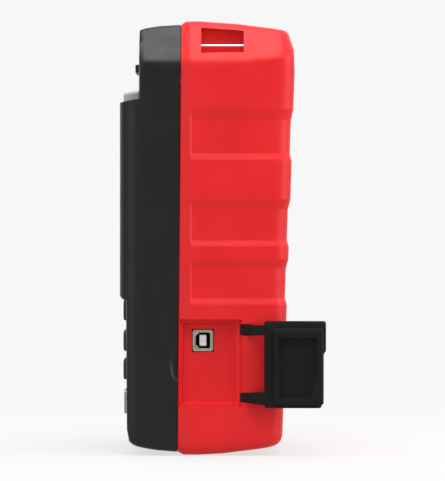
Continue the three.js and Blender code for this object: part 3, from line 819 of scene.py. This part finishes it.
def hole_lines(centre, half):
    """Grid lines at a hole's edges, with more in its round corners."""
    across = half - KEY_CORNER + KEY_CORNER * np.array([0, 0.38, 0.7, 0.92, 1.0, 1.1, 1.25, 1.5])
    return np.concatenate([centre - across[::-1], centre + across])


def open_faces(grid, middle):
    """True for the faces that stay: the window, the door opening and the key holes are left out."""
    ns, nc, nf = grid.shape
    column = np.full(len(middle), -1)
    column[:grid.wall_count] = np.arange(grid.wall_count) % (len(grid.angle) - 1)
    on_face = (column >= ns + nc) & (column < ns + nc + nf - 1)
    x, z = middle[:, 0], middle[:, 2]
    gone = np.zeros(len(middle), bool)
    for half, (low, high) in ((WINDOW_HOLE_HALF, WINDOW_HOLE_Z), (DOOR_HOLE_HALF, DOOR_HOLE_Z)):
        gone |= (np.abs(x) < half) & (z > low) & (z < high)
    for key_x in KEY_X:
        for key_z in KEY_Z:
            u, v = np.abs(x - key_x) - KEY_HOLE[0], np.abs(z - key_z) - KEY_HOLE[1]
            corner = np.hypot(np.maximum(u + KEY_CORNER, 0), np.maximum(v + KEY_CORNER, 0))
            gone |= (u < 0) & (v < 0) & (corner < KEY_CORNER)
    return ~(gone & on_face)


# ------------------------------------------------------------------ display, keys and badge
def display_bezel():
    """Silver frame. Its loops run outer back, front edge, front, window slope, window, back and round again;
    above the step its back reaches the shelf, and its top slopes down towards the front."""
    low, high = BEZEL_Z
    middle, half = (low + high) / 2, (high - low) / 2
    shelf_back = SHELF_Y - 0.5

    def loop(half_u, half_v, radius, centre_v, depth=None):
        points = rounded(half_u, half_v, radius, (0, centre_v), arc=5, side=10)
        if depth is None:
            depth = np.where(points[:, 1] > BEZEL_STEP_Z, shelf_back, SEAT_Y - 0.3)
        return np.column_stack([points, np.broadcast_to(depth, len(points))])

    window_u, window_v = WINDOW_HALF
    inner_mid = (BEZEL_INNER_Z + BEZEL_STEP_Z) / 2
    inner_half = (BEZEL_STEP_Z - BEZEL_INNER_Z) / 2
    rings = np.stack([
        loop(47.7, half, 1.5, middle), loop(47.7, half, 1.5, middle, -42.9),
        loop(47.55, half - 0.15, 1.4, middle, -43.25), loop(47.2, half - 0.5, 1.2, middle, -43.4),
        loop(window_u + 1.9, window_v + 1.9, 3.2, WINDOW_MID, -43.4),
        loop(window_u + 1.6, window_v + 1.6, 3.0, WINDOW_MID, -43.3),
        loop(window_u, window_v, 2.0, WINDOW_MID, -42.0), loop(window_u, window_v, 2.0, WINDOW_MID, -40.6),
        loop(44.0, inner_half - 0.1, 2.0, inner_mid, -40.6), loop(44.2, inner_half + 0.1, 2.0, inner_mid),
    ])
    rings[..., 1] -= 0.22 * (shelf_back - rings[..., 2]) * smooth_step((rings[..., 1] - 188) / 9)
    make_piece("silver_display_bezel", *lofted(stand(rings, "y"), closed=True), SILVER, "casing",
               "silver_paint", stands_for=["display_bezel"])


def display_window():
    """Flat window with its edge broken."""
    rows = [(43.7, 34.7, 1.0, -38.3), (43.7, 34.7, 1.0, -40.0), (43.4, 34.4, 0.9, -40.3)]
    make_piece("smoked_display_window", *stacked(rows, (0, WINDOW_MID), "y"), WINDOW, "casing", "window",
               stands_for=["display_window"])


def keys():
    """Twelve key caps: a flange behind the wall, straight sides, a rounded edge and a low crown."""
    half_u, half_v = KEY_HALF
    rows = [(half_u + 1.2, half_v + 1.2, 1.5, -38.2), (half_u + 1.2, half_v + 1.2, 1.5, -39.0),
            (half_u, half_v, KEY_CORNER, -39.0), (half_u, half_v, KEY_CORNER, -42.5),
            (half_u - 0.1, half_v - 0.1, 2.3, -42.9), (half_u - 0.4, half_v - 0.4, 2.1, -43.2),
            (half_u - 0.9, half_v - 0.9, 1.8, -43.35), (half_u - 3.0, half_v - 2.4, 1.4, -43.5),
            (half_u - 6.0, half_v - 4.2, 0.8, -43.55)]
    for row, z in enumerate(KEY_Z, 1):
        for column, x in enumerate(KEY_X, 1):
            node = f"key_{row}_{column}"
            make_piece(f"soft_{node}", *stacked(rows, (x, z), "y", arc=7, side=2), KEY_GREY, node,
                       "key_rubber", stands_for=[node])


def badge_plate():
    """Blank silver strip with a pressed border, stuck on under the keys."""
    rows = [(50.0, 6.45, 2.0, -41.2), (50.0, 6.45, 2.0, -42.7), (49.7, 6.15, 1.8, -43.0),
            (49.0, 5.45, 1.5, -43.0), (48.7, 5.15, 1.4, -42.8)]
    make_piece("silver_badge_plate", *stacked(rows, (0, 28.35), "y", side=3), SILVER, "casing",
               "silver_paint", stands_for=["badge_plate"])


# ------------------------------------------------------------------ ticket printer
def printer_door():
    """Hatch with a finger lip; two cheeks hold the roller, and a barrel turns on the pin."""
    low, high = DOOR_Z
    u = merged(np.concatenate([
        np.linspace(-DOOR_HALF, DOOR_HALF, 35), edge_lines([-DOOR_HALF, DOOR_HALF], 0.6),
        edge_lines([-LIP_HALF, LIP_HALF], 0.5)]))
    v = merged(np.concatenate([np.linspace(low, high, 14), edge_lines(DOOR_Z, 0.6), edge_lines(LIP_Z, 0.5)]))
    u, v = u[np.abs(u) <= DOOR_HALF], v[(v >= low) & (v <= high)]

    def top(x, z):
        edge = np.minimum(DOOR_HALF - np.abs(x), np.minimum(z - low, high - z))
        fall = 0.45 * (1 - np.sqrt(1 - (1 - np.clip(edge / 0.45, 0, 1)) ** 2))
        lip = between(x, -LIP_HALF, LIP_HALF, 0.5) * between(z, *LIP_Z, 0.5)
        scoop = 0.9 * np.clip(1 - (x / 15) ** 2 - ((z - 217.8) / 3.0) ** 2, 0, 1)
        return x, z, SHELF_Y + fall - 3.3 * lip + scoop

    make_piece("printer_door_panel", *relief(u, v, top, SHELF_Y + 2.2, "y"), BLACK, "printer_door",
               "black_plastic", stands_for=["printer_door"])
    tube = [(1.0, -34), (1.5, -34), (1.5, 34), (1.0, 34)]
    parts = [turned(tube, DOOR_AXIS, 24, "x", closed=True)]
    side = [(SHELF_Y + 1, 200.8), (-27.5, 201.5), (-25.9, 203.2), (-26.6, 205.3), (SHELF_Y + 1, 212)]
    for start in (-33.0, 30.8):
        rings = np.stack([flat_loop(np.array(side), depth) for depth in (start, start + 2.2)])
        parts.append(lofted(stand(rings, "x")))
    make_piece("printer_door_arms", *joined(parts), BLACK, "printer_door", "black_plastic")


def platen_and_paper():
    """Rubber feed roller on a steel shaft, and the roll of paper on its core."""
    rubber = [(0.8, -30.2), (3.2, -30.2), (3.5, -29.9), (3.5, 29.9), (3.2, 30.2), (0.8, 30.2)]
    make_piece("platen_rubber", *turned(rubber, PLATEN_AXIS, 40, "x", closed=True), RUBBER, "platen_roller",
               "black_rubber", stands_for=["platen_roller"])
    shaft = [(0.6, -32.6), (0.8, -32.4), (0.8, 32.4), (0.6, 32.6)]
    make_piece("platen_shaft", *turned(shaft, PLATEN_AXIS, 20, "x"), STEEL, "platen_roller", "steel")
    roll = [(4.5, -28.5), (13.4, -28.5), (13.5, -28.4), (13.5, 28.4), (13.4, 28.5), (4.5, 28.5)]
    make_piece("wound_paper_roll", *turned(roll, PAPER_AXIS, 72, "x", closed=True), PAPER, "paper_roll",
               "paper", stands_for=["paper_roll"])


# ------------------------------------------------------------------ sockets
PIN_PITCH = 2.77  # cable connector: spacing along a row, half the space between rows, and hole radius
PIN_ROW = 1.42
PIN_HOLE = 0.55
DEE_TAPER = 0.011  # widening of its D-shaped outline, for each millimetre towards the back


def usb_socket():
    """Square-mouthed data socket: plated shell, black liner, white tongue and four contacts.

    The mouth has its two corners towards the front cut straight."""
    centre = (USB_Y, USB_Z)
    front = FLOOR_X + 0.6

    def mouth(grow, depth):
        radius = np.array([1.1, 1.9, 1.9, 1.1]) + grow
        return flat_loop(rounded(3.9 + grow, 4.25 + grow, radius, centre, straight=(1, 2)), front + depth)

    outer = levels([(5.2, 5.5, 0.9, 40.0), (5.55, 5.85, 1.3, 40.4), (5.55, 5.85, 1.3, front - 0.35),
                    (5.45, 5.75, 1.3, front - 0.1), (5.2, 5.5, 1.2, front)], centre)
    inner = np.stack([mouth(0.45, 0), mouth(0.15, -0.12), mouth(0, -0.45), mouth(0, -9)])
    make_piece("data_socket_shell", *lofted(stand(np.concatenate([outer, inner]), "x")), NICKEL, "casing",
               "nickel_shell", stands_for=["usb_shell"])
    liner = np.stack([mouth(-0.1, -8.9), mouth(-0.1, -1.0), mouth(-0.35, -0.9), mouth(-0.45, -1.1),
                      mouth(-0.45, -8.7)])
    make_piece("data_socket_liner", *lofted(stand(liner, "x")), SOCKET, "casing", "black_plastic")
    tongue = [(1.85, 3.0, 0.3, front - 8.6), (1.85, 3.0, 0.3, front - 1.1), (1.7, 2.85, 0.3, front - 0.85),
              (1.4, 2.55, 0.3, front - 0.75)]
    make_piece("data_socket_tongue", *stacked(tongue, centre, "x"), WHITE, "casing", "white_plastic",
               stands_for=["usb_tongue"])
    strip = [(0.12, 0.5, 0.05, front - 8.4), (0.12, 0.5, 0.05, front - 2.0)]
    strips = [stacked(strip, (USB_Y + side * 1.9, USB_Z + up), "x") for side in (-1, 1) for up in (-1.3, 1.3)]
    make_piece("data_socket_contacts", *joined(strips), BRASS, "casing", "steel")


def cable_connector():
    """Fifteen-way connector in the top end: plated flange and tube, black face with sockets, two hexagon
    posts."""
    base = PORT_POCKET[3] + 0.3
    rows = [(19.4, 6.0, 1.4, 0), (19.6, 6.2, 1.5, 0.15), (19.6, 6.2, 1.5, 0.85), (19.4, 6.0, 1.4, 1.0),
            (12.9, 4.7, 1.9, 1.0), (12.35, 4.15, 1.6, 1.5), (12.35, 4.15, 1.6, 6.2), (12.25, 4.05, 1.5, 6.4),
            (11.8, 3.6, 1.4, 6.4), (11.7, 3.5, 1.4, 6.3), (11.7, 3.5, 1.4, 1.1)]
    shell = levels([(*form, base + depth) for *form, depth in rows], (0, PORT_Y), arc=7, side=2)
    is_tube = shell[..., 2] > base + 1.05
    shell[..., 0] *= 1 + DEE_TAPER * (shell[..., 1] - PORT_Y) * is_tube
    make_piece("cable_connector_shell", *lofted(stand(shell, "z")), NICKEL, "casing", "nickel_shell",
               stands_for=["dsub_shell"])

    holes = ([((k - 3.5) * PIN_PITCH, PIN_ROW) for k in range(8)]
             + [((k - 3.0) * PIN_PITCH, -PIN_ROW) for k in range(7)])
    across = np.array([-1.35, -1.0, -0.7, -0.35, 0, 0.35, 0.7, 1.0, 1.35]) * PIN_HOLE
    u = np.concatenate([np.add.outer([x for x, _ in holes], across).ravel(), [-11.3, -11.1, 11.1, 11.3]])
    v = np.concatenate([np.add.outer([-PIN_ROW, PIN_ROW], across).ravel(), [-3.1, -2.9, 0, 2.9, 3.1]])

    def top(x, y):
        depth = np.full_like(x, base + 6.0) - 0.2 * (np.abs(x) > 11.2) - 0.2 * (np.abs(y) > 3.0)
        for hole_x, hole_y in holes:
            p, q = x - hole_x, y - hole_y
            own = np.maximum(np.abs(p), np.abs(q)) < 0.78
            round_p, round_q = round_hole(p, q, PIN_HOLE, PIN_HOLE, PIN_HOLE, 0.2)
            x, y = np.where(own, hole_x + round_p, x), np.where(own, hole_y + round_q, y)
            depth = depth - 3.2 * (np.hypot(round_p, round_q) < 0.545)
        return x * (1 + DEE_TAPER * y), y + PORT_Y, depth

    make_piece("cable_connector_face", *relief(merged(u), merged(v), top, base + 1.3, "z"), SOCKET, "casing",
               "black_plastic", stands_for=["dsub_insulator"])
    post = [(2.3, base + 1.1, 0.04), (2.6, base + 1.4, 0.06), (2.6, base + 5.9, 0.06),
            (2.3, base + 6.2, 0.02), (1.35, base + 6.2), (1.15, base + 5.9), (1.15, base + 2.8)]
    for side, node in ((-1, "jack_screw_left"), (1, "jack_screw_right")):
        make_piece(f"hex_{node}", *turned(post, (side * 16.65, PORT_Y), 36, "z"), STEEL, "casing", "steel",
                   stands_for=[node])


# ------------------------------------------------------------------ port cover
def cover_turn(points):
    """Swings points of the shut cover open about the strap fold, to where it rests."""
    fold = next(joint for joint in frame["joints"] if joint["name"] == "port_cover_fold")
    turn = np.array(Matrix.Rotation(math.radians(-fold["range_deg"][0]), 3, Vector(fold["axis"])))
    pivot = np.array(fold["pos_m"]) / MM
    return (points - pivot) @ turn.T + pivot


def port_cover():
    """Rubber cover, shaped shut and then swung open.

    Its loops run from the outer face over the flange, up the rim that fills the recess and down into the
    pocket over the socket. Below a step the free edge is cut back for a thumb, further on its inner side."""
    form = dict(arc=6, side=26)
    flange_mid, rim_mid, pocket_mid = (4.3, 49.7), (2.6, 48.7), (3.0, 47.8)

    def flange(shrink, depth, scoop):
        loop = rounded(16.6 - shrink, 23.5 - shrink, 1.4, flange_mid, **form)
        free = smooth_step((-6 - loop[:, 0]) / 4)
        below = smooth_step((56.6 - loop[:, 1]) / 0.8)
        cut = 1.1 * below + (2.4 if scoop == "inner" else 1.2) * below * np.clip((56 - loop[:, 1]) / 12, 0, 1)
        return np.column_stack([loop[:, 0] + cut * free, loop[:, 1], np.full(len(loop), depth)])

    def rim(shrink, depth):
        loop = rounded(13.4 - shrink, 20.4 - shrink, 1.5, rim_mid, **form)
        return np.column_stack([loop, np.full(len(loop), depth)])

    def pocket(grow, depth):
        loop = rounded(10.5 + grow, 16.7 + grow, 1.6, pocket_mid, **form)
        cut = 3.9 * np.clip((45 - loop[:, 1]) / 13, 0, 1) * np.clip((6 - loop[:, 0]) / 9, 0, 1)
        return np.column_stack([loop[:, 0] + cut, loop[:, 1], np.full(len(loop), depth)])

    rings = np.stack([
        flange(3.0, 61.95, "outer"), flange(0.7, 61.9, "outer"), flange(0.2, 61.6, "outer"),
        flange(0.0, 61.1, "outer"), flange(0.0, 60.5, "outer"), flange(0.1, 60.3, "inner"),
        flange(0.1, 59.2, "inner"), flange(0.35, 58.8, "inner"), flange(0.7, 58.7, "inner"),
        rim(-0.3, 58.7), rim(0.0, 58.4), rim(0.15, 56.5), rim(0.4, 56.1), rim(0.8, 56.0),
        pocket(0.5, 56.0), pocket(0.15, 56.1), pocket(0.0, 56.4), pocket(-0.1, 59.2), pocket(-0.5, 59.6),
        pocket(-1.2, 59.7), pocket(-6.0, 59.7),
    ])
    vertices, faces = lofted(stand(rings, "x"))
    make_piece("rubber_port_cover", cover_turn(vertices), faces, RUBBER, "port_cover", "black_rubber", 40,
               ["port_cover"])


def cover_straps():
    """Two flat straps from their notches in the casing to the cover's hinge edge.

    Each is a rounded oblong section carried along a cubic curve in x and y, wider at its cover end."""
    t = np.linspace(0, 1, 34)[:, None]
    knots = np.array([(59.5, 20.4), (61.6, 24.6), (66.6, 27.4), (69.0, 34.2)])
    weights = np.hstack([(1 - t) ** 3, 3 * t * (1 - t) ** 2, 3 * t ** 2 * (1 - t), t ** 3])
    path = weights @ knots
    along = np.gradient(path, axis=0)
    along /= np.linalg.norm(along, axis=1, keepdims=True)
    across = np.column_stack([-along[:, 1], along[:, 0]])
    section = rounded(0.8, 1.0, 0.35, arc=4, side=3)
    for node, (low, high), flare in zip(("port_strap_upper", "port_strap_lower"), STRAPS_Z, (0.1, 1.3)):
        half = (high - low) / 2 + flare * smooth_step(t)
        xy = path[:, None, :] + across[:, None, :] * section[None, :, :1]
        z = (low + high) / 2 + half * section[None, :, 1]
        vertices, faces = lofted(np.concatenate([xy, z[..., None]], axis=-1))
        piece = make_piece(f"rubber_{node[5:]}", vertices, faces, RUBBER, None, "black_rubber", 50, [node])
        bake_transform(piece)


# ------------------------------------------------------------------ fastenings
def screws():
    """Domed heads with a six-lobed recess, on plain shanks."""
    for node in [name for name in frame["nodes"] if name.startswith("case_screw")]:
        low, high = (np.array(corner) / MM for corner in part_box(node))
        centre = ((low[0] + high[0]) / 2, (low[2] + high[2]) / 2)
        top = high[1]
        rows = [(0.9, low[1]), (1.2, low[1] + 0.4), (1.2, top - 2.0), (2.6, top - 2.0), (2.7, top - 1.8),
                (2.65, top - 1.0), (2.2, top - 0.3), (1.5, top), (1.25, top, 0.13), (1.15, top - 0.3, 0.13),
                (1.05, top - 1.2, 0.13)]
        make_piece(f"steel_{node}", *turned(rows, centre, 36, "y"), STEEL, "casing", "steel",
                   stands_for=[node])


def lanyard_bars():
    """Drawn steel bar across each shoulder slot."""
    front, back = SLOT_Y
    rows = [(0.6, front - 2.1), (0.8, front - 1.9), (0.8, back + 1.9), (0.6, back + 2.1)]
    for node, side in (("lanyard_bar_right", 1), ("lanyard_bar_left", -1)):
        make_piece(f"drawn_{node}", *turned(rows, (side * 54.0, 221.8), 24, "y"), STEEL, "casing", "steel",
                   stands_for=[node])


for build_pieces in (rear_shell, front_shell, display_bezel, display_window, keys, badge_plate, printer_door,
                     platen_and_paper, usb_socket, cable_connector, port_cover, cover_straps, screws,
                     lanyard_bars):
    build_pieces()


# ------------------------------------------------------------------ camera, light, floor
WHITENESS = 0.93  # of the floor and the surroundings, as the camera sees them
FLOOR_PAINT = 0.78
FLOOR_HALF = 6  # metres
VIEW_CENTRE = (0.0, 0.01053, 0.1161)
VIEW_DISTANCE = 1.6
VIEW_HEIGHT = 0.25974  # metres of the side face from the bottom of the view to its top
SENSOR = 36


def told_apart(tree, seen, unseen):
    """Value that is seen for what the camera looks at directly, and unseen, a number or an output, for
    light."""
    path = wired(tree, "LightPath", {})
    choice = wired(tree, "Mix", {"Factor": path.outputs["Is Camera Ray"], "A": unseen, "B": seen})
    return choice.outputs["Result"]


def studio_world(scene):
    """White surroundings as seen; for light and reflections a dim dome, brighter overhead and at the far
    wall."""
    world = bpy.data.worlds.new("studio")
    world.use_nodes = True
    tree = world.node_tree
    apart = wired(tree, "SeparateXYZ", {"Vector": coordinates(tree, "Generated")})
    dome = wired(tree, "MapRange", {"Value": apart.outputs["Z"], "To Min": 0.18, "To Max": 0.95})
    wall = wired(tree, "MapRange", {"Value": apart.outputs["X"], "From Max": -1.0, "To Max": 0.9})
    both = wired(tree, "Math", {0: dome.outputs["Result"], 1: wall.outputs["Result"]})
    background = tree.nodes["Background"]
    background.inputs["Color"].default_value = (1, 1, 1, 1)
    tree.links.new(told_apart(tree, WHITENESS, both.outputs["Value"]), background.inputs["Strength"])
    scene.world = world


def pale_floor():
    """Floor that fades into the white surroundings, with part of the shade that falls on it."""
    material = bpy.data.materials.new("floor_white")
    material.use_nodes = True
    tree = material.node_tree
    tree.nodes.clear()
    far = wired(tree, "VectorMath", {0: coordinates(tree, "Object")})
    far.operation = "LENGTH"
    fade = wired(tree, "MapRange", {
        "Value": far.outputs["Value"], "From Min": 0.15, "From Max": 0.7, "To Min": 0.72})
    paint = wired(tree, "BsdfDiffuse", {"Color": (FLOOR_PAINT, FLOOR_PAINT, FLOOR_PAINT, 1)})
    glow = wired(tree, "Emission", {"Strength": told_apart(tree, WHITENESS, 0.5)})
    mix = wired(tree, "MixShader", {
        "Fac": fade.outputs["Result"], 1: paint.outputs["BSDF"], 2: glow.outputs["Emission"]})
    wired(tree, "OutputMaterial", {"Surface": mix.outputs["Shader"]})
    return material


def studio():
    """Pale floor, soft light from above and both sides, and the camera square on to the port side."""
    scene = bpy.context.scene
    scene.view_settings.view_transform = "Standard"
    camera_data = bpy.data.cameras.new("camera")
    camera = bpy.data.objects.new("camera", camera_data)
    scene.collection.objects.link(camera)
    centre = Vector(VIEW_CENTRE)
    camera_data.sensor_width = SENSOR
    camera_data.lens = SENSOR * (VIEW_DISTANCE - REAR_HALF * MM) / VIEW_HEIGHT
    camera.location = centre + Vector((VIEW_DISTANCE, 0, 0))
    camera.rotation_euler = (math.pi / 2, 0, math.pi / 2)
    scene.camera = camera

    floor_mesh = bpy.data.meshes.new("floor")
    corners = [(x * FLOOR_HALF, y * FLOOR_HALF, 0) for x, y in ((-1, -1), (1, -1), (1, 1), (-1, 1))]
    floor_mesh.from_pydata(corners, [], [(0, 1, 2, 3)])
    floor = bpy.data.objects.new("floor", floor_mesh)
    scene.collection.objects.link(floor)
    floor.location = (0, 0, -0.0004)
    floor_mesh.materials.append(pale_floor())
    studio_world(scene)

    for name, place, size, watts in (
        ("overhead", (0.45, 0.0, 1.15), (0.6, 1.0), 8),
        ("front_side", (0.85, -0.85, 0.35), (0.9, 0.8), 2.0),
        ("back_side", (0.4, 1.1, 0.4), (0.9, 0.9), 7.5),
    ):
        lamp = bpy.data.lights.new(name, "AREA")
        lamp.shape = "RECTANGLE"
        lamp.size, lamp.size_y = size
        lamp.energy = watts
        light = bpy.data.objects.new(name, lamp)
        scene.collection.objects.link(light)
        light.location = place
        light.rotation_euler = (centre - Vector(place)).to_track_quat("-Z", "Y").to_euler()


studio()

for material, nodes in {
    RUBBER: ["keypad_mat"],
    BLACK: ["paper_bin", "buzzer"],
    STEEL: ["lcd_panel", "door_pin", "print_head"],
    BOARD: ["main_board", "key_board", "port_board"],
}.items():
    for node in nodes:
        if not frame["nodes"][node].material_slots:
            frame["nodes"][node].data.materials.append(material)
        for slot in frame["nodes"][node].material_slots:
            slot.material = material
